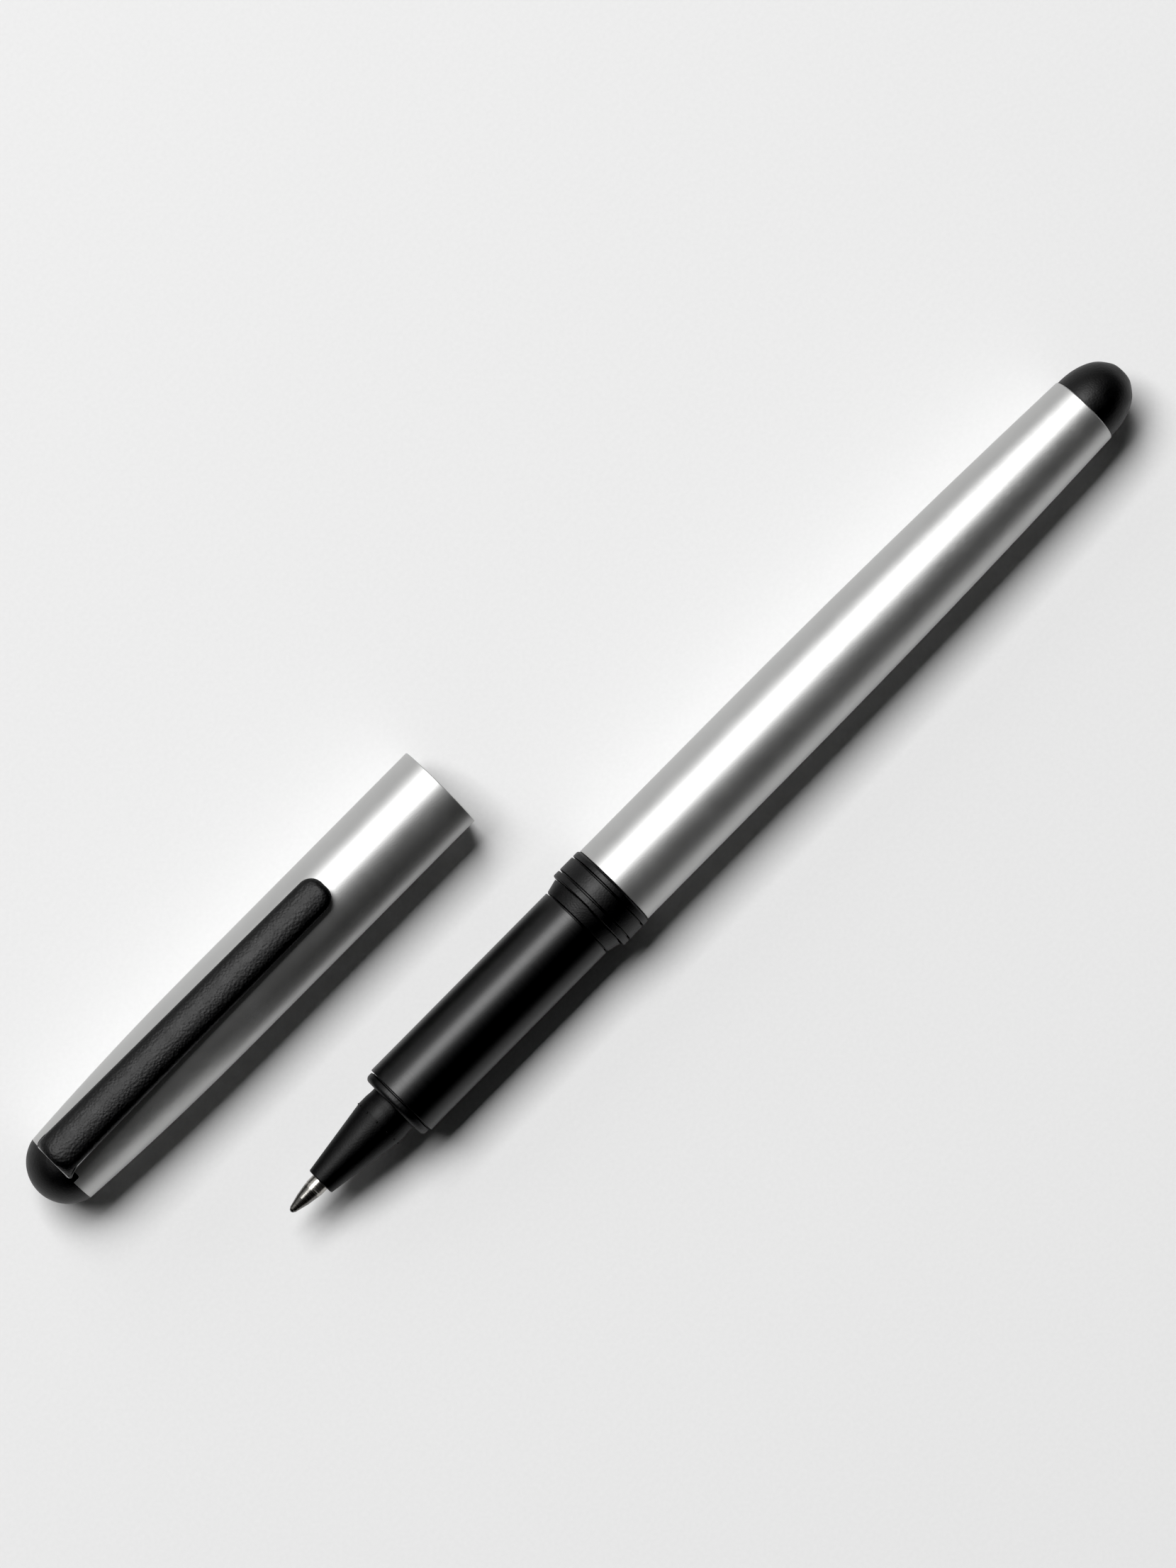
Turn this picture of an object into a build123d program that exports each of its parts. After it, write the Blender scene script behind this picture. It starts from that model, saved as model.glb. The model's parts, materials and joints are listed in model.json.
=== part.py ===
from build123d import *
import math
import os

# Capped rollerball pen with its cap off and lying beside it.
# Millimetres, +Z up. The pen's axis and the cap's axis both run along X, the writing tip towards -X.
# A "station" is a distance along the pen from the front of the ball, towards the rear.
# A "depth" is a distance along the cap from the crown end of its tube, towards its mouth.

# Whole pen
PEN_LENGTH = 133.8
RING_R = 5.58
BARREL_R = 5.40
BARREL_END_R = 4.40
GRIP_R = 4.76
PEN_AXIS_Z = RING_R

# Stations along the pen
NOSE_FACE = 4.72
NOSE_CONE_END = 14.15
NOSE_NECK = 15.9
FRONT_RING = (16.45, 17.50)
GRIP = (17.62, 45.65)
CONE_RING = (45.8, 47.45)
STOP_RING = (47.6, 48.48)
WIDE_RING = (48.66, 50.6)
FLANGE_RING = (50.76, 51.65)
BARREL = (51.7, 127.6)
BARREL_STRAIGHT_END = 74.0
BARREL_CAVITY_END = 100.0
BARREL_CAVITY_R = 4.3
TAIL_END = 59.2
BUSH = (51.9, 62.3)

# Refill
BALL_R = 0.35
BALL_CLEARANCE = 0.015
TIP_R = 1.12
TIP_SHOULDER = 3.4
TIP_STEM_R = 0.88
TIP_STEM_END = 9.0
NOSE_FACE_R = 1.78
NOSE_R = 3.14
NECK_R = 3.07
COLLAR_R = 3.35
COLLAR = (17.5, 18.6)
REFILL_R = 3.05
REFILL_WALL = 0.35
REFILL_TUBE = (18.6, 108.4)
REFILL_END = 110.5
FEED_R = 0.45
FEED = (1.2, 24.0)
INK = (24.2, 104.0)
INK_CHAMBER_R = 1.6
RUNNING_GAP = 0.08

# Section core, which carries the grip and the rings
CORE_R = 3.84
CORE_BORE_R = 3.45
CORE_MOUTH_R = NECK_R + RUNNING_GAP
CONE_RING_END_R = 5.14
FRONT_RING_R = 4.55
GROOVE_DEPTH = 0.45
FRONT_GROOVE_DEPTH = 0.25
THREAD_ROOT_R = 3.72
BUSH_BORE_R = 3.95
BUSH_R = 4.60
FIT_GAP = 0.02

# Spring behind the refill
SPRING = (110.75, 120.75)
SPRING_WIRE_R = 0.22
SPRING_COIL_R = 2.2
SPRING_TURNS = 6

# Rear dome
DOME_R = 4.28
DOME_FULLNESS = 2.2
DOME_STEM_R = 3.50
DOME_STEM_START = 121.0

# Cap
CAP_TUBE_LENGTH = 60.4
CAP_R = 5.44
CAP_CROWN_R = 4.62
CAP_STRAIGHT_DEPTH = 25.3
CAP_BORE_R = 4.90
CAP_CROWN_BORE_R = 4.0
CAP_BORE_TAPER = (3.0, 26.0)
CROWN_HEIGHT = 3.7
CAP_MOUTH_STATION = 45.8
CAP_TO_PEN = 21.7
CAP_ROLL = 12.6
LINER = (10.0, 30.6)
LINER_POCKET_R = 3.4
LINER_POCKET_START = 12.6

# Clip, in the cap's frame before the cap is rolled
CLIP = (0.1, 43.25)
CLIP_BASE_WIDTH = 5.1
CLIP_END_WIDTH = 4.3
CLIP_LEAF_Z = 6.0
CLIP_LEAF_THICKNESS = 0.3
CLIP_RIM = 0.14
CLIP_TOP_BASE = 7.5
CLIP_TOP_END = 7.15
CLIP_EDGE_ROUND = 0.42
CLIP_CORNER_R = 1.75
CLIP_BASE_CORNER_R = 0.55
SLOT_HALF_WIDTH = 3.0
SLOT_DEPTH = 0.9
CLIP_LEG = (0.15, 0.75)
CLIP_LEG_HALF_WIDTH = 2.3
CLIP_LEG_BOTTOM = 3.3
CLIP_PAD_DEPTH = 40.6
CLIP_PAD_R = 1.1
CLIP_PAD_BOTTOM = 5.52

# Places of the two axes: the origin is under the middle of the whole object's box
CAP_CROWN_STATION = CAP_MOUTH_STATION - CAP_TUBE_LENGTH - CROWN_HEIGHT
MIDDLE_STATION = (PEN_LENGTH + CAP_CROWN_STATION) / 2
PEN_Y = -(CAP_TO_PEN + CAP_R - RING_R) / 2
CAP_Y = PEN_Y + CAP_TO_PEN
CAP_ZERO_STATION = CAP_MOUTH_STATION - CAP_TUBE_LENGTH
PEN_PLACE = Pos(-MIDDLE_STATION, PEN_Y, PEN_AXIS_Z)
CAP_PLACE = Pos(CAP_ZERO_STATION - MIDDLE_STATION, CAP_Y, CAP_R) * Rot(-CAP_ROLL, 0, 0)


def turned(*edges):
    """Turn a closed outline, given as (distance along the axis, radius), about the X axis."""
    return revolve(make_face(Curve() + list(edges)), Axis.X)


def turned_corners(*points):
    """Turn an outline of straight lines about the X axis."""
    return turned(Polyline(*points, close=True))


def ring(span, inner_r, outer_r, front_round, rear_round):
    """A ring about the X axis whose two outer edges are rounded."""
    start, end = span
    shape = Pos((start + end) / 2, (inner_r + outer_r) / 2) * Rectangle(end - start, outer_r - inner_r)
    front, rear = shape.vertices().group_by(Axis.Y)[-1].sort_by(Axis.X)
    shape = fillet(front, front_round)
    rear = shape.vertices().group_by(Axis.Y)[-1].sort_by(Axis.X)[-1]
    shape = fillet(rear, rear_round)
    return revolve(shape, Axis.X)


# ---- Barrel ----

def barrel_tube():
    """Straight behind the rings, then curving gently in to the rear end."""
    start, end = BARREL
    chamfer_size = 0.12
    edge_break = 0.05
    bush_seat_r = BUSH_R + FIT_GAP
    return turned(
        Line((start, BARREL_R - edge_break), (start + edge_break, BARREL_R)),
        Line((start + edge_break, BARREL_R), (BARREL_STRAIGHT_END, BARREL_R)),
        TangentArc((BARREL_STRAIGHT_END, BARREL_R), (end - chamfer_size, BARREL_END_R), tangent=(1, 0)),
        Polyline(
            (end - chamfer_size, BARREL_END_R),
            (end, BARREL_END_R - chamfer_size),
            (end, DOME_STEM_R + FIT_GAP),
            (DOME_STEM_START - 1, DOME_STEM_R + FIT_GAP),
            (BARREL_CAVITY_END, BARREL_CAVITY_R),
            (BUSH[1] + 0.2, BARREL_CAVITY_R),
            (BUSH[1] + 0.2, bush_seat_r),
            (start, bush_seat_r),
            (start, BARREL_R - edge_break),
        ),
    )


def barrel_bush():
    """Threaded bush in the barrel's mouth, with its bore at the thread's crest clearance."""
    return ring(BUSH, BUSH_BORE_R, BUSH_R, 0.1, 0.1)


def rear_dome():
    """Half an egg, a little fuller than an ellipsoid, on a stem that fills the barrel's rear end."""
    base = BARREL[1] + 0.02
    length = PEN_LENGTH - base
    outline = []
    for share in (0.35, 0.6, 0.8, 0.93):
        height = (1 - share ** DOME_FULLNESS) ** (1 / DOME_FULLNESS)
        outline.append((base + length * share, DOME_R * height))
    return turned(
        Spline((base, DOME_R), *outline, (PEN_LENGTH, 0), tangents=((1, 0), (0, -1))),
        Polyline(
            (base, DOME_R),
            (base, DOME_STEM_R),
            (DOME_STEM_START, DOME_STEM_R),
            (DOME_STEM_START, 0),
            (PEN_LENGTH, 0),
        ),
    )


def refill_spring():
    """Open coil spring between the refill's end and the dome's stem."""
    length = SPRING[1] - SPRING[0] - 2 * SPRING_WIRE_R
    path = Helix(pitch=length / SPRING_TURNS, height=length, radius=SPRING_COIL_R)
    section = Plane(origin=path @ 0, z_dir=path % 0) * Circle(SPRING_WIRE_R)
    coil = sweep(section, path=path, is_frenet=True)
    return Pos(SPRING[0] + SPRING_WIRE_R, 0, 0) * Rot(0, 90, 0) * coil


# ---- Refill ----

def tip_ball():
    return Pos(BALL_R, 0, 0) * Sphere(BALL_R)


def refill_tip():
    """Metal cone and cylinder with the ball's socket in front and a stem in the plastic nose."""
    lip_station = 0.26
    lip_outer_r = 0.43
    socket_r = BALL_R + BALL_CLEARANCE
    socket_back = 0.68
    lip_inner_r = math.sqrt(socket_r ** 2 - (BALL_R - lip_station) ** 2)
    back_r = math.sqrt(socket_r ** 2 - (socket_back - BALL_R) ** 2)
    groove_depth = 0.05
    cone_break = (1.9, 0.83)
    return turned(
        ThreePointArc((lip_station, lip_inner_r), (BALL_R, socket_r), (socket_back, back_r)),
        Polyline(
            (socket_back, back_r),
            (FEED[0] - 0.1, back_r),
            (FEED[0] - 0.1, FEED_R + 0.03),
            (TIP_STEM_END, FEED_R + 0.03),
            (TIP_STEM_END, TIP_STEM_R),
            (NOSE_FACE, TIP_STEM_R),
            (NOSE_FACE, TIP_R),
            (TIP_SHOULDER + 0.25, TIP_R),
            (TIP_SHOULDER + 0.2, TIP_R - groove_depth),
            (TIP_SHOULDER, TIP_R - groove_depth),
            cone_break,
            (lip_station + 0.1, lip_outer_r),
            (lip_station, lip_inner_r),
        ),
    )


def refill_nose():
    """Black plastic nose: a cone, a short cylinder, a neck, a retaining collar and a spigot."""
    spigot_r = REFILL_R - REFILL_WALL - FIT_GAP
    spigot_end = 23.0
    chamber_front = 15.0
    funnel_front = 13.0
    neck_taper = 0.7
    edge = 0.22
    face_end = NOSE_FACE + edge
    return turned(
        ThreePointArc(
            (NOSE_FACE, NOSE_FACE_R - edge),
            (NOSE_FACE + edge * 0.27, NOSE_FACE_R - edge * 0.27),
            (face_end, NOSE_FACE_R),
        ),
        Polyline(
            (face_end, NOSE_FACE_R),
            (NOSE_CONE_END, NOSE_R),
            (NOSE_NECK - neck_taper, NOSE_R),
            (NOSE_NECK, NECK_R),
            (COLLAR[0], NECK_R),
            (COLLAR[0], COLLAR_R),
            (COLLAR[1], COLLAR_R),
            (COLLAR[1], spigot_r),
            (spigot_end, spigot_r),
            (spigot_end, INK_CHAMBER_R),
            (chamber_front, INK_CHAMBER_R),
            (funnel_front, FEED_R + 0.05),
            (TIP_STEM_END + 0.1, FEED_R + 0.05),
            (TIP_STEM_END + 0.1, TIP_STEM_R + FIT_GAP),
            (NOSE_FACE, TIP_STEM_R + FIT_GAP),
            (NOSE_FACE, NOSE_FACE_R - edge),
        ),
    )


def feed_rod():
    """Fibre rod that leads the ink from the reservoir to the ball."""
    return turned_corners((FEED[0], 0), (FEED[0] + 0.4, FEED_R), (FEED[1], FEED_R), (FEED[1], 0))


def ink_reservoir():
    radius = REFILL_R - REFILL_WALL - 0.1
    return turned_corners((INK[0], 0), (INK[0], radius), (INK[1], radius), (INK[1], 0))


def refill_tube():
    return ring(REFILL_TUBE, REFILL_R - REFILL_WALL, REFILL_R, 0.1, 0.1)


def refill_plug():
    """Stopper in the tube's rear end, with a flange and a short boss for the spring."""
    spigot_r = REFILL_R - REFILL_WALL - FIT_GAP
    flange_end = REFILL_TUBE[1] + 1.0
    boss_r = 1.6
    boss_end_r = 1.4
    return turned_corners(
        (INK[1] + 0.3, 0),
        (INK[1] + 0.3, spigot_r),
        (REFILL_TUBE[1], spigot_r),
        (REFILL_TUBE[1], REFILL_R),
        (flange_end, REFILL_R),
        (flange_end, boss_r),
        (REFILL_END, boss_end_r),
        (REFILL_END, 0),
    )


# ---- Section: grip and rings on a threaded core ----

def section_core():
    """Inner tube with the hole for the refill's neck in front and a threaded tail behind."""
    mouth_end = COLLAR[0] - 0.1
    tail_start = FLANGE_RING[1]
    front = FRONT_RING[0] + 0.25
    return turned_corners(
        (front, CORE_MOUTH_R),
        (front, CORE_R),
        (tail_start, CORE_R),
        (tail_start + 0.3, THREAD_ROOT_R),
        (TAIL_END, THREAD_ROOT_R),
        (TAIL_END, CORE_BORE_R),
        (mouth_end, CORE_BORE_R),
        (mouth_end, CORE_MOUTH_R),
    )


def seat(span, groove_r):
    """Plain shoulder that fills the space between two rings, up to the floor of the groove there."""
    start, end = span
    inner_r = CORE_R + FIT_GAP
    return turned_corners((start, inner_r), (start, groove_r), (end, groove_r), (end, inner_r))


def front_ring():
    """Rounded lip that closes the section's front end."""
    start, end = FRONT_RING
    outer_r = FRONT_RING_R
    lip_round = 0.6
    back_round = 0.15
    step = start + 0.25
    core_r = CORE_R + FIT_GAP
    lip = turned(
        Line((start, CORE_MOUTH_R + 0.1), (start, outer_r - lip_round)),
        RadiusArc((start, outer_r - lip_round), (start + lip_round, outer_r), lip_round),
        Line((start + lip_round, outer_r), (end - back_round, outer_r)),
        RadiusArc((end - back_round, outer_r), (end, outer_r - back_round), back_round),
        Polyline(
            (end, outer_r - back_round),
            (end, core_r),
            (step, core_r),
            (step, CORE_MOUTH_R),
            (start + 0.1, CORE_MOUTH_R),
            (start, CORE_MOUTH_R + 0.1),
        ),
    )
    return lip + seat((end, GRIP[0] - FIT_GAP), outer_r - FRONT_GROOVE_DEPTH)


def grip_sleeve():
    return ring(GRIP, CORE_R + FIT_GAP, GRIP_R, 0.09, 0.06)


def cone_ring():
    """Tapered ring that centres the cap's mouth."""
    start, end = CONE_RING
    edge_break = 0.12
    core_r = CORE_R + FIT_GAP
    cone = turned_corners(
        (start, core_r),
        (start, GRIP_R - edge_break),
        (start + edge_break, GRIP_R),
        (end, CONE_RING_END_R),
        (end, core_r),
    )
    front_seat = seat((GRIP[1] + FIT_GAP, start), GRIP_R - GROOVE_DEPTH)
    rear_seat = seat((end, STOP_RING[0] - FIT_GAP), CONE_RING_END_R - GROOVE_DEPTH)
    return front_seat + cone + rear_seat


def stop_ring():
    """Narrow ring that the cap's mouth stops against."""
    return ring(STOP_RING, CORE_R + FIT_GAP, RING_R, 0.16, 0.1)


def wide_ring():
    """Broad ring with a shoulder on each side, which makes the grooves beside it."""
    start, end = WIDE_RING
    groove_r = RING_R - GROOVE_DEPTH
    front_seat = seat((STOP_RING[1] + FIT_GAP, start), groove_r)
    rear_seat = seat((end, FLANGE_RING[0] - FIT_GAP), groove_r)
    return front_seat + ring(WIDE_RING, CORE_R + FIT_GAP, RING_R, 0.1, 0.1) + rear_seat


def flange_ring():
    """Ring against the barrel, its rear edge eased down to the barrel's size."""
    return ring(FLANGE_RING, CORE_R + FIT_GAP, RING_R, 0.1, 0.32)


# ---- Cap ----

def cap_tube():
    """Straight at the mouth, curving in to the crown end, with an open slot there for the clip's root."""
    mouth = CAP_TUBE_LENGTH
    taper_start, taper_end = CAP_BORE_TAPER
    edge_break = 0.08
    slot_corner_r = 0.22
    tube = turned(
        Line((0, CAP_CROWN_R), (0, CAP_CROWN_BORE_R)),
        Polyline(
            (0, CAP_CROWN_BORE_R),
            (taper_start, CAP_CROWN_BORE_R),
            (taper_end, CAP_BORE_R),
            (mouth - edge_break, CAP_BORE_R),
            (mouth, CAP_BORE_R + edge_break),
            (mouth, CAP_R - edge_break),
            (mouth - edge_break, CAP_R),
            (CAP_STRAIGHT_DEPTH, CAP_R),
        ),
        TangentArc((CAP_STRAIGHT_DEPTH, CAP_R), (0, CAP_CROWN_R), tangent=(-1, 0)),
    )
    slot_middle_z = (CAP_CROWN_BORE_R + CAP_R) / 2
    slot = Pos(SLOT_DEPTH / 2 - 0.5, 0, slot_middle_z) * Box(SLOT_DEPTH + 1, 2 * SLOT_HALF_WIDTH, 4)
    inner_edges = slot.edges().filter_by(Axis.Z).group_by(Axis.X)[-1]
    return tube - fillet(inner_edges, slot_corner_r)


def cap_crown():
    """Shallow dome on a stem, with a pocket for the clip's root."""
    stem_end = 6.0
    stem_r = CAP_CROWN_BORE_R - FIT_GAP
    middle_x = -CROWN_HEIGHT * 0.5
    dome_r = (CAP_CROWN_R ** 2 + CROWN_HEIGHT ** 2) / (2 * CROWN_HEIGHT)
    middle_r = math.sqrt(dome_r ** 2 - (middle_x - (dome_r - CROWN_HEIGHT)) ** 2)
    crown = turned(
        ThreePointArc((-CROWN_HEIGHT, 0), (middle_x, middle_r), (-0.02, CAP_CROWN_R)),
        Polyline((-0.02, CAP_CROWN_R), (-0.02, stem_r), (stem_end, stem_r), (stem_end, 0), (-CROWN_HEIGHT, 0)),
    )
    room = 0.2
    pocket_height = 4
    pocket_middle = Pos(0.5, 0, CLIP_LEG_BOTTOM - room + pocket_height / 2)
    pocket = pocket_middle * Box(1.0, 2 * (CLIP_LEG_HALF_WIDTH + room), pocket_height)
    return crown - pocket


def cap_liner():
    """Inner cap that closes round the nose and stops the ink drying."""
    start, end = LINER
    gap = 0.05
    taper_start, taper_end = CAP_BORE_TAPER
    slope = (CAP_BORE_R - CAP_CROWN_BORE_R) / (taper_end - taper_start)
    start_r = CAP_CROWN_BORE_R + slope * (start - taper_start) - gap
    return turned_corners(
        (start, 0),
        (start, start_r),
        (taper_end, CAP_BORE_R - gap),
        (end, CAP_BORE_R - gap),
        (end, LINER_POCKET_R + 0.25),
        (end - 0.4, LINER_POCKET_R),
        (LINER_POCKET_START, LINER_POCKET_R),
        (LINER_POCKET_START, 0),
    )


# ---- Clip ----

def clip_plan(margin):
    """Outline of the clip from above: it narrows to a rounded free end."""
    start = CLIP[0] - margin
    end = CLIP[1] + margin
    base_half = CLIP_BASE_WIDTH / 2 + margin
    end_half = CLIP_END_WIDTH / 2 + margin
    plan = make_face(
        Polyline((start, -base_half), (end, -end_half), (end, end_half), (start, base_half), close=True)
    )
    plan = fillet(plan.vertices().group_by(Axis.X)[-1], CLIP_CORNER_R)
    return fillet(plan.vertices().group_by(Axis.X)[0], CLIP_BASE_CORNER_R)


def clip_spring():
    """Sprung leaf with a root leg in the crown's pocket and a pad that rests near the tube."""
    leaf_top = CLIP_LEAF_Z + CLIP_LEAF_THICKNESS
    leaf = Pos(0, 0, CLIP_LEAF_Z) * extrude(clip_plan(CLIP_RIM), CLIP_LEAF_THICKNESS)
    leg_length = CLIP_LEG[1] - CLIP_LEG[0]
    leg_height = CLIP_LEAF_Z - CLIP_LEG_BOTTOM + 0.05
    leg_middle = CLIP_LEG_BOTTOM + leg_height / 2
    leg = Pos(sum(CLIP_LEG) / 2, 0, leg_middle) * Box(leg_length, 2 * CLIP_LEG_HALF_WIDTH, leg_height)
    pad = Pos(CLIP_PAD_DEPTH, 0, CLIP_PAD_BOTTOM + CLIP_PAD_R) * Sphere(CLIP_PAD_R)
    trim = 4 * CLIP_PAD_R
    below_leaf_top = Pos(CLIP_PAD_DEPTH, 0, leaf_top - 0.05 - trim / 2) * Box(trim, trim, trim)
    return leaf + leg + (pad & below_leaf_top)


def clip_cover():
    """Black cover on the leaf, crowned across its width, with rounded top edges."""
    base = CLIP_LEAF_Z + CLIP_LEAF_THICKNESS
    body = Pos(0, 0, base) * extrude(clip_plan(0), CLIP_TOP_BASE - base + 1)
    length = CLIP[1] - CLIP[0]
    middle = sum(CLIP) / 2
    crowning = Pos(middle, 0, 0) * Rot(0, 90, 0) * Cone(CLIP_TOP_BASE, CLIP_TOP_END, length + 2)
    cover = body & crowning
    top_edges = cover.edges().filter_by(lambda edge: edge.center().Z > base + 0.3)
    sides = top_edges.filter_by(lambda edge: edge.bounding_box().min.Z > base + 0.2)
    return fillet(sides, CLIP_EDGE_ROUND)


PEN_NODES = {
    "barrel_tube": barrel_tube,
    "barrel_bush": barrel_bush,
    "rear_dome": rear_dome,
    "refill_spring": refill_spring,
    "tip_ball": tip_ball,
    "refill_tip": refill_tip,
    "refill_nose": refill_nose,
    "feed_rod": feed_rod,
    "ink_reservoir": ink_reservoir,
    "refill_tube": refill_tube,
    "refill_plug": refill_plug,
    "section_core": section_core,
    "front_ring": front_ring,
    "grip_sleeve": grip_sleeve,
    "cone_ring": cone_ring,
    "stop_ring": stop_ring,
    "wide_ring": wide_ring,
    "flange_ring": flange_ring,
}

CAP_NODES = {
    "cap_tube": cap_tube,
    "cap_crown": cap_crown,
    "cap_liner": cap_liner,
    "clip_spring": clip_spring,
    "clip_cover": clip_cover,
}

os.makedirs("parts", exist_ok=True)
for name, build in PEN_NODES.items():
    export_step(PEN_PLACE * build(), f"parts/{name}.step")
for name, build in CAP_NODES.items():
    export_step(CAP_PLACE * build(), f"parts/{name}.step")
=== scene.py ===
import json
import math

import bmesh
import bpy
from mathutils import Matrix, Vector


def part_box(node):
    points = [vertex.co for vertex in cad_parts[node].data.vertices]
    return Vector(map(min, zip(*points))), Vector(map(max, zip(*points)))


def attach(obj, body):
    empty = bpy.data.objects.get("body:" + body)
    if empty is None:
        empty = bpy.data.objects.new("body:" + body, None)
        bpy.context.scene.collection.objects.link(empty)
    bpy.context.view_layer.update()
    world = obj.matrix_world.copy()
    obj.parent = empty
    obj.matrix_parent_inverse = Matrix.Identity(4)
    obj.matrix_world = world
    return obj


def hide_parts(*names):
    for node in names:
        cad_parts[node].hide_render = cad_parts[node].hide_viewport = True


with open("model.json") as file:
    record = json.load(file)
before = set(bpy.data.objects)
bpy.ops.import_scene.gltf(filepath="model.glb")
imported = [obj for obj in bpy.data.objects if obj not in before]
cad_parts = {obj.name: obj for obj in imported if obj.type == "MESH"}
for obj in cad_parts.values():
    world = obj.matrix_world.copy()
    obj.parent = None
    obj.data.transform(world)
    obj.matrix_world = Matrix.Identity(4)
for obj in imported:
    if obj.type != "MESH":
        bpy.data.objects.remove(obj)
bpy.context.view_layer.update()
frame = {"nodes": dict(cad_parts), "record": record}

MM = 0.001
TURN = 2 * math.pi


def axis_of(node):
    """The y and z of a turned node's axis."""
    low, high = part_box(node)
    return (low.y + high.y) / 2, (low.z + high.z) / 2


# Places taken from the frame: the pen's axis, the cap's axis, and where each starts along X
PEN_FRONT_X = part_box("tip_ball")[0].x
PEN_Y, PEN_Z = axis_of("grip_sleeve")
CAP_START_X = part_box("cap_tube")[0].x
CAP_Y, CAP_Z = axis_of("cap_liner")
CAP_ROLL = math.radians(12.6)

# A place on the cap before it is rolled: x is the depth from the crown end, z is up through the clip
CAP_PLACE = Matrix.Translation((CAP_START_X, CAP_Y, CAP_Z)) @ Matrix.Rotation(-CAP_ROLL, 4, "X")


# ---- Camera, light and floor ----

PEN_ANGLE = math.radians(45.3)
VIEW_CENTRE = Vector((0.0, -0.68, 5.5)) * MM
CAMERA_FOOT = Vector((-38.4, -0.68, 0.0)) * MM
CAMERA_HEIGHT = 730 * MM
FRAME_HEIGHT = 177 * MM

ROOM_LIGHT = 0.026
BLACK_LEVEL = 0.004

# Each light: its angle from straight up towards +Y, half its height and half its width as angles,
# and its radiance
LIGHT_DISTANCE = 3.0
LIGHTS = {
    "softbox": (math.radians(31), math.radians(13), math.radians(20), 11.7),
    "reflector": (math.radians(64), math.radians(12), math.radians(30), 0.9),
}


def add_camera():
    """Almost straight down, with the pen running from lower left to upper right."""
    place = CAMERA_FOOT + Vector((0, 0, CAMERA_HEIGHT))
    forward = (VIEW_CENTRE - place).normalized()
    up = Vector((math.sin(PEN_ANGLE), math.cos(PEN_ANGLE), 0))
    right = forward.cross(up).normalized()
    up = right.cross(forward)
    data = bpy.data.cameras.new("camera")
    data.lens = data.sensor_width * (VIEW_CENTRE - place).length / FRAME_HEIGHT
    camera = bpy.data.objects.new("camera", data)
    camera.matrix_world = Matrix.Translation(place) @ Matrix((right, up, -forward)).transposed().to_4x4()
    bpy.context.scene.collection.objects.link(camera)
    bpy.context.scene.camera = camera


def add_light(name, angle, half_height, half_width, radiance):
    """A flat light on the cap's side, facing the object, so that shadows fall towards -Y."""
    away = Vector((0, math.sin(angle), math.cos(angle)))
    along = Vector((1, 0, 0))
    across = away.cross(along)
    data = bpy.data.lights.new(name, "AREA")
    data.shape = "RECTANGLE"
    data.size = 2 * LIGHT_DISTANCE * math.tan(half_width)
    data.size_y = 2 * LIGHT_DISTANCE * math.tan(half_height)
    data.energy = radiance * math.pi * data.size * data.size_y
    lamp = bpy.data.objects.new(name, data)
    turn = Matrix((along, across, away)).transposed().to_4x4()
    lamp.matrix_world = Matrix.Translation(away * LIGHT_DISTANCE) @ turn
    bpy.context.scene.collection.objects.link(lamp)


def add_room():
    """Dim light from all round, and the contrast of a product photograph."""
    scene = bpy.context.scene
    world = bpy.data.worlds.new("room")
    world.use_nodes = True
    background = world.node_tree.nodes["Background"]
    background.inputs["Color"].default_value = (1, 1, 1, 1)
    background.inputs["Strength"].default_value = ROOM_LIGHT
    scene.world = world
    scene.view_settings.view_transform = "Standard"
    scene.view_settings.use_curve_mapping = True
    scene.view_settings.curve_mapping.black_level = (BLACK_LEVEL, BLACK_LEVEL, BLACK_LEVEL)


# ---- Materials ----

# The refill's tip: its cone, painted darker as shade, and the blend from that painted shade to the cylinder
# behind it
TIP_CONE_LENGTH = 3.2 * MM
TIP_SHADE_BLEND = 0.3 * MM
TIP_CONE_PAINTED_SHADE = (0.17, 0.165, 0.155)
TIP_STEEL_COLOUR = (0.38, 0.365, 0.34)


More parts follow.
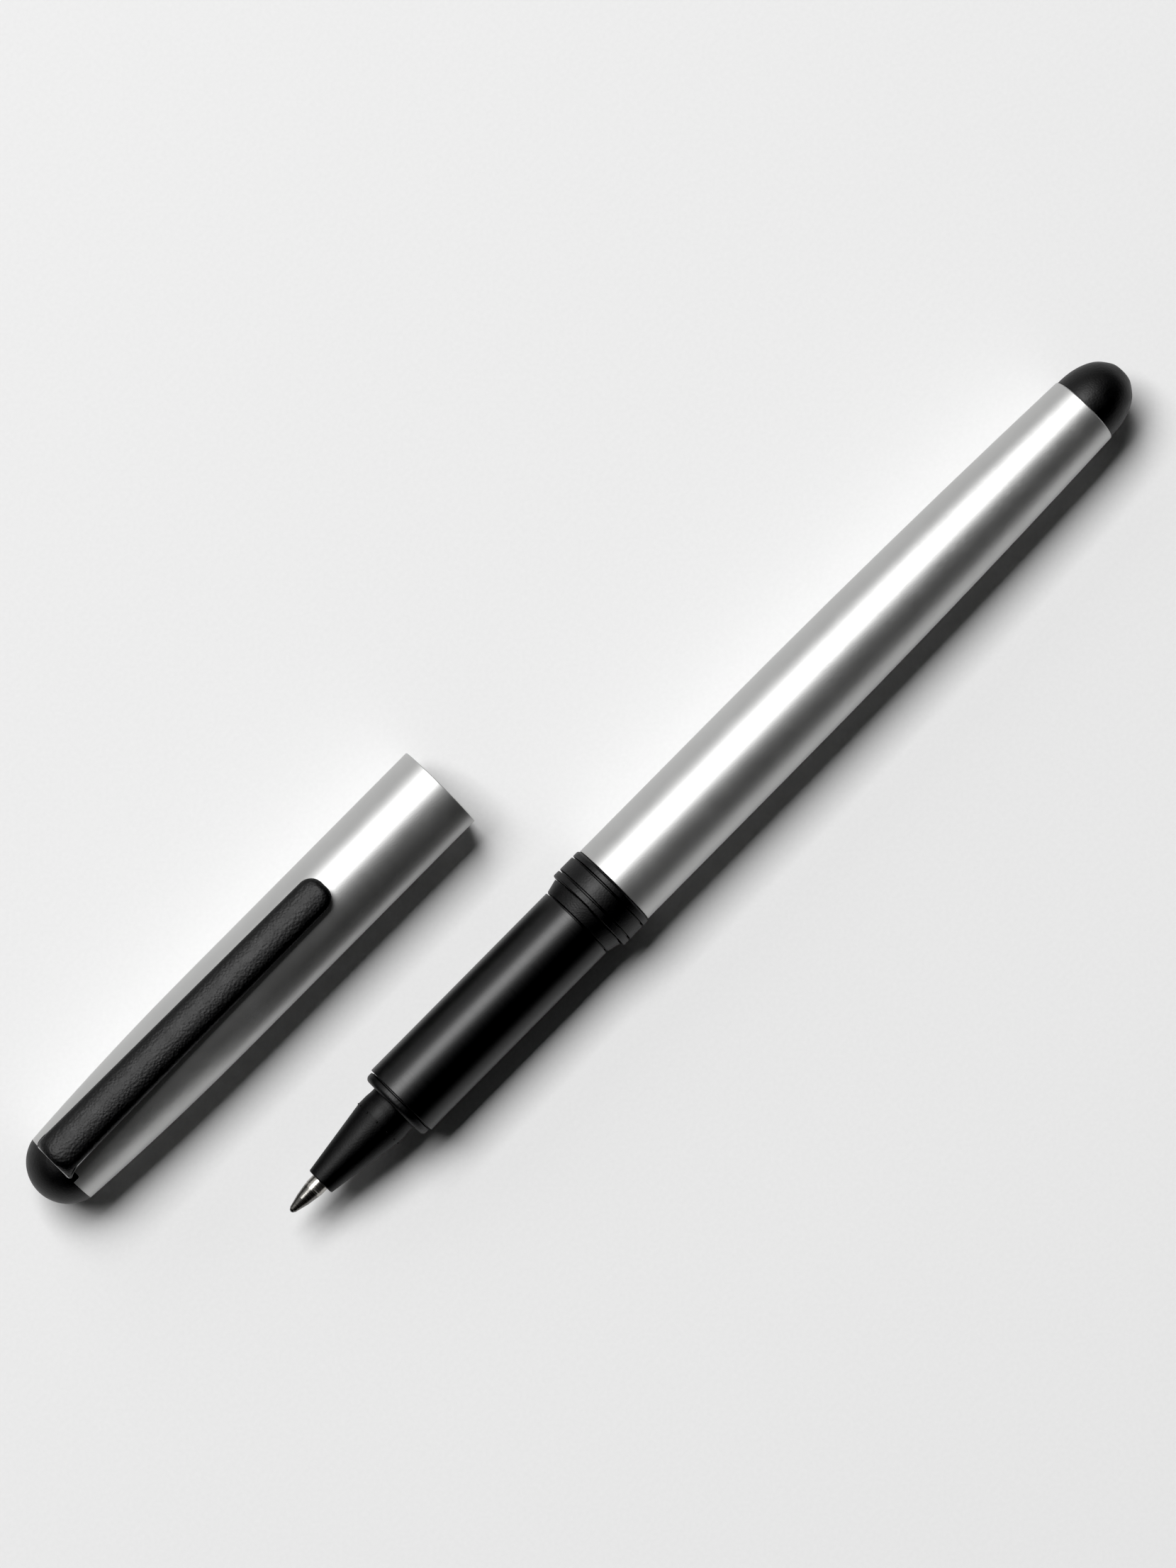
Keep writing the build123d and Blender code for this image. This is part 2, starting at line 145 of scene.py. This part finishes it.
class Finish:
    """A material's node tree, with the few node patterns that the finishes share. Lengths are in metres."""

    def __init__(self, name, colour, metallic, roughness):
        self.material = bpy.data.materials.new(name)
        self.material.use_nodes = True
        self.tree = self.material.node_tree
        self.shader = self.tree.nodes["Principled BSDF"]
        self.shader.inputs["Base Color"].default_value = (*colour, 1)
        self.shader.inputs["Metallic"].default_value = metallic
        self.shader.inputs["Roughness"].default_value = roughness
        self.place = self.tree.nodes.new("ShaderNodeTexCoord").outputs["Object"]

    def stretched(self, scale):
        """Object coordinates stretched along the axes, for turning marks and brushed lines."""
        node = self.tree.nodes.new("ShaderNodeMapping")
        node.inputs["Scale"].default_value = scale
        self.tree.links.new(self.place, node.inputs["Vector"])
        return node.outputs["Vector"]

    def noise(self, grain_size, detail=2.0, vector=None):
        node = self.tree.nodes.new("ShaderNodeTexNoise")
        node.inputs["Scale"].default_value = 1 / grain_size
        node.inputs["Detail"].default_value = detail
        self.tree.links.new(vector or self.place, node.inputs["Vector"])
        return node.outputs["Fac"]

    def cells(self, grain_size):
        node = self.tree.nodes.new("ShaderNodeTexVoronoi")
        node.feature = "SMOOTH_F1"
        node.inputs["Scale"].default_value = 1 / grain_size
        node.inputs["Smoothness"].default_value = 0.6
        self.tree.links.new(self.place, node.inputs["Vector"])
        return node.outputs["Distance"]

    def past(self, x, run):
        """0 in front of x along the pen, rising to 1 over run."""
        split = self.tree.nodes.new("ShaderNodeSeparateXYZ")
        self.tree.links.new(self.place, split.inputs["Vector"])
        node = self.tree.nodes.new("ShaderNodeMapRange")
        node.inputs["From Min"].default_value = x
        node.inputs["From Max"].default_value = x + run
        self.tree.links.new(split.outputs["X"], node.inputs["Value"])
        return node.outputs["Result"]

    def spread(self, value, low, high):
        """Maps the middle of a noise onto low to high."""
        node = self.tree.nodes.new("ShaderNodeMapRange")
        node.inputs["From Min"].default_value = 0.3
        node.inputs["From Max"].default_value = 0.7
        node.inputs["To Min"].default_value = low
        node.inputs["To Max"].default_value = high
        self.tree.links.new(value, node.inputs["Value"])
        return node.outputs["Result"]

    def vary_roughness(self, value, low, high):
        self.tree.links.new(self.spread(value, low, high), self.shader.inputs["Roughness"])

    def vary_colour(self, value, dark, light):
        node = self.tree.nodes.new("ShaderNodeMix")
        node.data_type = "RGBA"
        node.inputs["A"].default_value = (*dark, 1)
        node.inputs["B"].default_value = (*light, 1)
        self.tree.links.new(self.spread(value, 0, 1), node.inputs["Factor"])
        self.tree.links.new(node.outputs["Result"], self.shader.inputs["Base Color"])

    def relief(self, *layers):
        """Bump from (height, depth in metres) layers, each on top of the one before."""
        normal = None
        for height, depth in layers:
            node = self.tree.nodes.new("ShaderNodeBump")
            node.inputs["Strength"].default_value = 1.0
            node.inputs["Distance"].default_value = depth
            self.tree.links.new(height, node.inputs["Height"])
            if normal is not None:
                self.tree.links.new(normal, node.inputs["Normal"])
            normal = node.outputs["Normal"]
        self.tree.links.new(normal, self.shader.inputs["Normal"])


def silver_anodising():
    """Bead-blasted and anodised aluminium: a wide soft sheen over fine pits."""
    finish = Finish("silver_anodising", (0.53, 0.53, 0.525), 1.0, 0.47)
    clouds = finish.noise(9 * MM, 3)
    finish.vary_colour(clouds, (0.515, 0.515, 0.51), (0.545, 0.545, 0.54))
    finish.vary_roughness(finish.noise(3 * MM, 4), 0.45, 0.49)
    finish.relief((finish.noise(0.16 * MM, 3), 0.006 * MM))
    return finish.material


def black_anodising():
    """Satin black dye under a clear oxide skin, with faint turning marks round the grip."""
    finish = Finish("black_anodising", (0.0006, 0.0006, 0.0007), 0.0, 0.36)
    finish.shader.inputs["Specular IOR Level"].default_value = 0.37
    turning = finish.noise(0.9 * MM, 3, finish.stretched((9, 0.4, 0.4)))
    finish.vary_colour(finish.noise(5 * MM, 3), (0.0004, 0.0004, 0.0005), (0.0009, 0.0009, 0.001))
    finish.vary_roughness(turning, 0.34, 0.38)
    finish.relief((finish.noise(0.15 * MM, 2), 0.004 * MM))
    return finish.material


def black_plastic(name, roughness, gloss, grain_size, grain_depth):
    """Moulded black plastic with a spark-eroded grain."""
    finish = Finish(name, (0.0008, 0.0008, 0.0009), 0.0, roughness)
    finish.shader.inputs["Specular IOR Level"].default_value = gloss
    finish.vary_colour(finish.noise(2 * MM, 4), (0.0006, 0.0006, 0.0007), (0.0011, 0.0011, 0.0012))
    finish.vary_roughness(finish.noise(1.2 * MM, 3), roughness - 0.03, roughness + 0.03)
    finish.relief((finish.cells(grain_size), grain_depth), (finish.noise(grain_size / 2, 2), grain_depth / 2))
    return finish.material


def satin_steel(name, colour, roughness, brushed):
    """Steel with fine lines along the axes that brushed stretches it on."""
    finish = Finish(name, colour, 1.0, roughness)
    lines = finish.noise(0.6 * MM, 4, finish.stretched(brushed))
    finish.vary_roughness(lines, roughness - 0.05, roughness + 0.05)
    finish.vary_colour(finish.noise(1.5 * MM, 3), [c * 0.93 for c in colour], colour)
    finish.relief((lines, 0.002 * MM))
    return finish.material


def tip_steel():
    """Turned steel: a cone painted darker as shade, in front of a cylinder in the steel's own colour."""
    finish = Finish("tip_steel", TIP_STEEL_COLOUR, 1.0, 0.26)
    lines = finish.noise(0.6 * MM, 4, finish.stretched((8, 0.3, 0.3)))
    finish.vary_roughness(lines, 0.21, 0.31)
    # Painted shade: the cone gets a darker copy of the steel's colour, blending to the full colour behind it
    finish.vary_colour(finish.past(PEN_FRONT_X + TIP_CONE_LENGTH, TIP_SHADE_BLEND), TIP_CONE_PAINTED_SHADE, TIP_STEEL_COLOUR)
    finish.relief((lines, 0.002 * MM))
    return finish.material


def turned_brass():
    finish = Finish("turned_brass", (0.62, 0.45, 0.2), 1.0, 0.25)
    grooves = finish.noise(0.5 * MM, 3, finish.stretched((8, 0.3, 0.3)))
    finish.vary_colour(finish.noise(1.5 * MM, 3), (0.55, 0.39, 0.17), (0.66, 0.49, 0.23))
    finish.vary_roughness(grooves, 0.2, 0.34)
    finish.relief((grooves, 0.004 * MM))
    return finish.material


def milky_plastic():
    """Translucent refill tube, darker where the ink shows through it."""
    finish = Finish("milky_plastic", (0.62, 0.64, 0.64), 0.0, 0.3)
    finish.shader.inputs["Transmission Weight"].default_value = 0.35
    finish.shader.inputs["IOR"].default_value = 1.5
    finish.vary_colour(finish.noise(4 * MM, 3), (0.57, 0.59, 0.6), (0.66, 0.68, 0.68))
    finish.vary_roughness(finish.noise(1 * MM, 3), 0.26, 0.36)
    finish.relief((finish.noise(0.4 * MM, 2), 0.004 * MM))
    return finish.material


def ink_fibre():
    """Bundled fibre soaked with blue-black ink, its strands along X."""
    finish = Finish("ink_fibre", (0.006, 0.007, 0.012), 0.0, 0.6)
    strands = finish.noise(0.25 * MM, 3, finish.stretched((0.08, 1, 1)))
    finish.vary_colour(strands, (0.003, 0.003, 0.006), (0.01, 0.011, 0.02))
    finish.relief((strands, 0.03 * MM))
    return finish.material


def pale_paper():
    """The table's matt pale sheet, with a fine tooth that shows in the shadows' edges."""
    finish = Finish("pale_paper", (0.8, 0.8, 0.8), 0.0, 0.95)
    finish.shader.inputs["Specular IOR Level"].default_value = 0.0
    finish.vary_colour(finish.noise(0.5 * MM, 3), (0.79, 0.79, 0.79), (0.81, 0.81, 0.81))
    finish.relief((finish.noise(0.35 * MM, 2), 0.006 * MM))
    return finish.material


def make_materials():
    """One material for each of the record's slots."""
    silver = silver_anodising()
    return {
        "barrel_aluminium": silver,
        "cap_aluminium": silver,
        "grip_aluminium": black_anodising(),
        "bush_brass": turned_brass(),
        "ring_plastic": black_plastic("ring_plastic", 0.46, 0.27, 0.24 * MM, 0.012 * MM),
        "dome_plastic": black_plastic("dome_plastic", 0.46, 0.27, 0.24 * MM, 0.012 * MM),
        "clip_plastic": black_plastic("clip_plastic", 0.46, 0.25, 0.3 * MM, 0.035 * MM),
        "core_plastic": black_plastic("core_plastic", 0.4, 0.3, 0.15 * MM, 0.004 * MM),
        "nose_plastic": black_plastic("nose_plastic", 0.48, 0.18, 0.2 * MM, 0.01 * MM),
        "liner_plastic": black_plastic("liner_plastic", 0.45, 0.25, 0.2 * MM, 0.006 * MM),
        "clip_steel": satin_steel("clip_steel", (0.06, 0.06, 0.06), 0.38, (0.2, 1, 1)),
        "spring_steel": satin_steel("spring_steel", (0.5, 0.49, 0.47), 0.28, (1, 1, 1)),
        "tip_steel": tip_steel(),
        "ball_steel": satin_steel("ball_steel", (0.12, 0.12, 0.12), 0.15, (1, 1, 1)),
        "refill_plastic": milky_plastic(),
        "ink_fibre": ink_fibre(),
    }


# ---- Pieces ----

NUB_COUNT = 12
NUB_RADIUS = 0.11 * MM
NUB_STATION = 13.95 * MM
NUB_RING_RADIUS = 3.10 * MM
NUB_FIRST_ANGLE = math.radians(4.4)

THREAD_STARTS = 2
THREAD_LEAD = 2.0 * MM
THREAD_ROOT = 3.70 * MM
THREAD_CREST = 3.92 * MM
THREAD_ROOT_HALF = 0.36 * MM
THREAD_CREST_HALF = 0.07 * MM
THREAD_STEPS = 72
THREAD_END_SIZE = 0.05
THREAD_RUN = (52.5 * MM, 58.7 * MM)

# The clip, along the cap from its root to its free end
CLIP_START, CLIP_END = (corner.x - CAP_START_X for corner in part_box("clip_cover"))
CLIP_ROOT_HALF = 2.55 * MM
CLIP_END_HALF = 2.15 * MM
CLIP_ROOT_CORNER = 0.55 * MM
CLIP_END_CORNER = 1.75 * MM
CLIP_SEAT = 6.30 * MM
CLIP_ROOT_TOP = 7.50 * MM
CLIP_END_TOP = 7.15 * MM
CLIP_BEND_RUN = 1.7 * MM
CLIP_BEND_DROP = 1.5 * MM
CLIP_BEND_FLARE = 0.15 * MM
COVER_ROOT_ROLL = 1.1 * MM
COVER_ROOT_FALL = 0.3 * MM
COVER_END_ROLL = 0.85 * MM
COVER_COLUMNS = 32
COVER_SHARP = math.radians(50)
LEAF_RIM = 0.14 * MM
LEAF_RIM_RUN = 4.0 * MM
LEAF_THICKNESS = 0.28 * MM
LEAF_SHARP = math.radians(35)
CLIP_FINE_RUN = 2.2 * MM
CLIP_FINE_STEPS = 24
CLIP_LONG_STEPS = 12
LEG_RUN = (0.15 * MM, 0.75 * MM)
LEG_HALF = 2.3 * MM
LEG_BOTTOM = 3.3 * MM
PAD_DEPTH = 40.6 * MM
PAD_RADIUS = 1.1 * MM
PAD_BOTTOM = 5.52 * MM


def add_piece(name, mesh, body, material):
    piece = bpy.data.objects.new(name, mesh)
    bpy.context.scene.collection.objects.link(piece)
    mesh.materials.append(material)
    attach(piece, body)
    return piece


def mesh_from(bm, name, sharp_angle=None):
    """The finished mesh, smooth but for the edges sharper than sharp_angle, or flat without one."""
    mesh = bpy.data.meshes.new(name)
    bm.to_mesh(mesh)
    bm.free()
    if sharp_angle is not None:
        mesh.shade_smooth()
        mesh.set_sharp_from_angle(angle=sharp_angle)
    return mesh


def join_sections(bm, previous, section):
    """Four faces from one four-cornered section to the next, or the end face if it is the first."""
    if previous is None:
        bm.faces.new(section)
        return
    for a in range(4):
        b = (a + 1) % 4
        bm.faces.new((previous[a], previous[b], section[b], section[a]))


def add_nubs(materials):
    """The ring of tiny round nubs where the nose's cone ends."""
    bm = bmesh.new()
    for i in range(NUB_COUNT):
        angle = NUB_FIRST_ANGLE + TURN * i / NUB_COUNT
        out = Vector((0, math.sin(angle), math.cos(angle)))
        centre = Vector((PEN_FRONT_X + NUB_STATION, PEN_Y, PEN_Z)) + out * NUB_RING_RADIUS
        bmesh.ops.create_icosphere(bm, subdivisions=3, radius=NUB_RADIUS, matrix=Matrix.Translation(centre))
    mesh = mesh_from(bm, "nose_nubs")
    mesh.shade_smooth()
    add_piece("nose_nubs", mesh, "refill", materials["nose_plastic"])


def clip_bend(depth):
    """1 at the clip's root, falling to 0 where it has straightened out."""
    return max(0, min(1, 1 - (depth - CLIP_START) / CLIP_BEND_RUN)) ** 2


def clip_seat(depth):
    """Height of the leaf's top above the cap's axis; it curves down at the root."""
    return CLIP_SEAT - CLIP_BEND_DROP * clip_bend(depth)


def clip_half_width(depth, rim):
    """Half the clip's width, flared at the root and with rounded corners in plan."""
    share = (depth - CLIP_START) / (CLIP_END - CLIP_START)
    half = CLIP_ROOT_HALF + (CLIP_END_HALF - CLIP_ROOT_HALF) * share
    half += CLIP_BEND_FLARE * clip_bend(depth) + rim * max(0, 1 - (depth - CLIP_START) / LEAF_RIM_RUN)
    ends = ((depth - CLIP_START + rim, CLIP_ROOT_CORNER), (CLIP_END - depth, CLIP_END_CORNER))
    for distance, corner in ends:
        inside = max(0, corner - max(0, distance))
        half -= corner - math.sqrt(corner ** 2 - inside ** 2)
    return half


def clip_depths(rim):
    """Depths of the clip's cross-sections, close together at both ends."""
    start = CLIP_START - rim
    end = CLIP_END
    bend_end = start + CLIP_FINE_RUN
    curve_start = end - CLIP_FINE_RUN
    angles = [TURN / 4 * i / CLIP_FINE_STEPS for i in range(CLIP_FINE_STEPS + 1)]
    root = [start + (bend_end - start) * (1 - math.cos(angle)) for angle in angles[:-1]]
    middle = [bend_end + (curve_start - bend_end) * i / CLIP_LONG_STEPS for i in range(CLIP_LONG_STEPS)]
    tail = [end - (end - curve_start) * (1 - math.sin(angle)) for angle in angles]
    return root + middle + tail


def cover_top(depth):
    """Height of the cover's middle above the cap's axis: eased at the root, rolled down at the free end."""
    share = (depth - CLIP_START) / (CLIP_END - CLIP_START)
    top = CLIP_ROOT_TOP + (CLIP_END_TOP - CLIP_ROOT_TOP) * share
    root_left = max(0, 1 - (depth - CLIP_START) / COVER_ROOT_ROLL)
    end_left = max(0, 1 - (CLIP_END - depth) / COVER_END_ROLL)
    top -= COVER_ROOT_FALL * root_left ** 2
    return CLIP_SEAT + (top - CLIP_SEAT) * math.sqrt(max(0, 1 - end_left ** 2))


def add_clip_cover(materials):
    """The cover's pillow shape: elliptical across, bluntly cut at its root, rolled down at its free end."""
    bm = bmesh.new()
    top = []
    bottom = []
    depths = clip_depths(0)
    for depth in depths:
        half = clip_half_width(depth, 0)
        seat = clip_seat(depth)
        rise = cover_top(depth) - seat
        at_end = depth == depths[-1]
        upper = []
        lower = []
        for j in range(COVER_COLUMNS + 1):
            angle = TURN / 2 * (j / COVER_COLUMNS - 0.5)
            side = half * math.sin(angle)
            upper.append(bm.verts.new((depth, side, seat + rise * math.cos(angle))))
            at_edge = at_end or j in (0, COVER_COLUMNS)
            lower.append(upper[j] if at_edge else bm.verts.new((depth, side, seat)))
        top.append(upper)
        bottom.append(lower)
    for rows in (top, bottom):
        for first, second in zip(rows, rows[1:]):
            for j in range(COVER_COLUMNS):
                bm.faces.new((first[j], second[j], second[j + 1], first[j + 1]))
    bm.faces.new(top[0] + bottom[0][-2:0:-1])
    bmesh.ops.recalc_face_normals(bm, faces=bm.faces)
    bmesh.ops.transform(bm, matrix=CAP_PLACE, verts=bm.verts)
    mesh = mesh_from(bm, "clip_shell", COVER_SHARP)
    piece = add_piece("clip_shell", mesh, "clip", materials["clip_plastic"])
    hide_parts("clip_cover")


def add_clip_leaf(materials):
    """The sprung leaf under the cover, its rim showing at the root, where it bends down to its leg."""
    bm = bmesh.new()
    previous = None
    for depth in clip_depths(LEAF_RIM):
        half = clip_half_width(depth, LEAF_RIM)
        high = clip_seat(depth)
        low = high - LEAF_THICKNESS
        corners = ((half, high), (half, low), (-half, low), (-half, high))
        section = [bm.verts.new((depth, side, height)) for side, height in corners]
        join_sections(bm, previous, section)
        previous = section
    bm.faces.new(list(reversed(previous)))
    leg_top = CLIP_SEAT - CLIP_BEND_DROP - LEAF_THICKNESS / 2
    leg_size = Vector((LEG_RUN[1] - LEG_RUN[0], 2 * LEG_HALF, leg_top - LEG_BOTTOM))
    leg_middle = Vector(((LEG_RUN[0] + LEG_RUN[1]) / 2, 0, (leg_top + LEG_BOTTOM) / 2))
    leg_place = Matrix.Translation(leg_middle) @ Matrix.Diagonal((*leg_size, 1))
    bmesh.ops.create_cube(bm, size=1, matrix=leg_place)
    pad_place = Matrix.Translation((PAD_DEPTH, 0, PAD_BOTTOM + PAD_RADIUS))
    pad = bmesh.ops.create_icosphere(bm, subdivisions=4, radius=PAD_RADIUS, matrix=pad_place)
    for vertex in pad["verts"]:
        vertex.co.z = min(vertex.co.z, CLIP_SEAT - LEAF_THICKNESS / 2)
    bmesh.ops.recalc_face_normals(bm, faces=bm.faces)
    bmesh.ops.transform(bm, matrix=CAP_PLACE, verts=bm.verts)
    mesh = mesh_from(bm, "clip_leaf", LEAF_SHARP)
    piece = add_piece("clip_leaf", mesh, "clip", materials["clip_steel"])
    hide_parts("clip_spring")


def thread_section(station, angle, size):
    """Four corners of the ridge's outline, in the plane through the axis at that angle."""
    out = Vector((0, math.sin(angle), math.cos(angle)))
    root_half = THREAD_ROOT_HALF * size
    crest_half = THREAD_CREST_HALF * size
    crest = THREAD_ROOT + (THREAD_CREST - THREAD_ROOT) * size
    corners = ((-root_half, THREAD_ROOT), (-crest_half, crest), (crest_half, crest), (root_half, THREAD_ROOT))
    axis = Vector((PEN_FRONT_X, PEN_Y, PEN_Z))
    return [axis + Vector((station + along, 0, 0)) + out * radius for along, radius in corners]


def add_thread(materials):
    """Two-start right-hand thread on the section's tail, each ridge fading out at both ends."""
    bm = bmesh.new()
    start, end = THREAD_RUN
    turns = (end - start) / THREAD_LEAD
    count = round(turns * THREAD_STEPS)
    fade = THREAD_STEPS / 4
    for first in range(THREAD_STARTS):
        previous = None
        for i in range(count + 1):
            share = i / count
            size = max(THREAD_END_SIZE, min(1, i / fade, (count - i) / fade))
            angle = TURN * (first / THREAD_STARTS + turns * share)
            points = thread_section(start + (end - start) * share, angle, size)
            ring = [bm.verts.new(point) for point in points]
            join_sections(bm, previous, ring)
            previous = ring
        bm.faces.new(list(reversed(previous)))
    bmesh.ops.recalc_face_normals(bm, faces=bm.faces)
    mesh = mesh_from(bm, "tail_thread")
    add_piece("tail_thread", mesh, "section", materials["core_plastic"])


def dress_cad_nodes(materials):
    """Gives every node of the frame the finish of its slot."""
    slots = {part["node"]: part["material_slot"] for part in frame["record"]["subparts"]}
    for name, node in frame["nodes"].items():
        node.data.materials.clear()
        node.data.materials.append(materials[slots[name]])


def add_floor():
    half = 4.0
    mesh = bpy.data.meshes.new("floor")
    corners = [(-half, -half, 0), (half, -half, 0), (half, half, 0), (-half, half, 0)]
    mesh.from_pydata(corners, [], [(0, 1, 2, 3)])
    mesh.materials.append(pale_paper())
    floor = bpy.data.objects.new("floor", mesh)
    bpy.context.scene.collection.objects.link(floor)


add_camera()
for light, setting in LIGHTS.items():
    add_light(light, *setting)
add_room()
add_floor()
finishes = make_materials()
dress_cad_nodes(finishes)
add_nubs(finishes)
add_clip_cover(finishes)
add_clip_leaf(finishes)
add_thread(finishes)
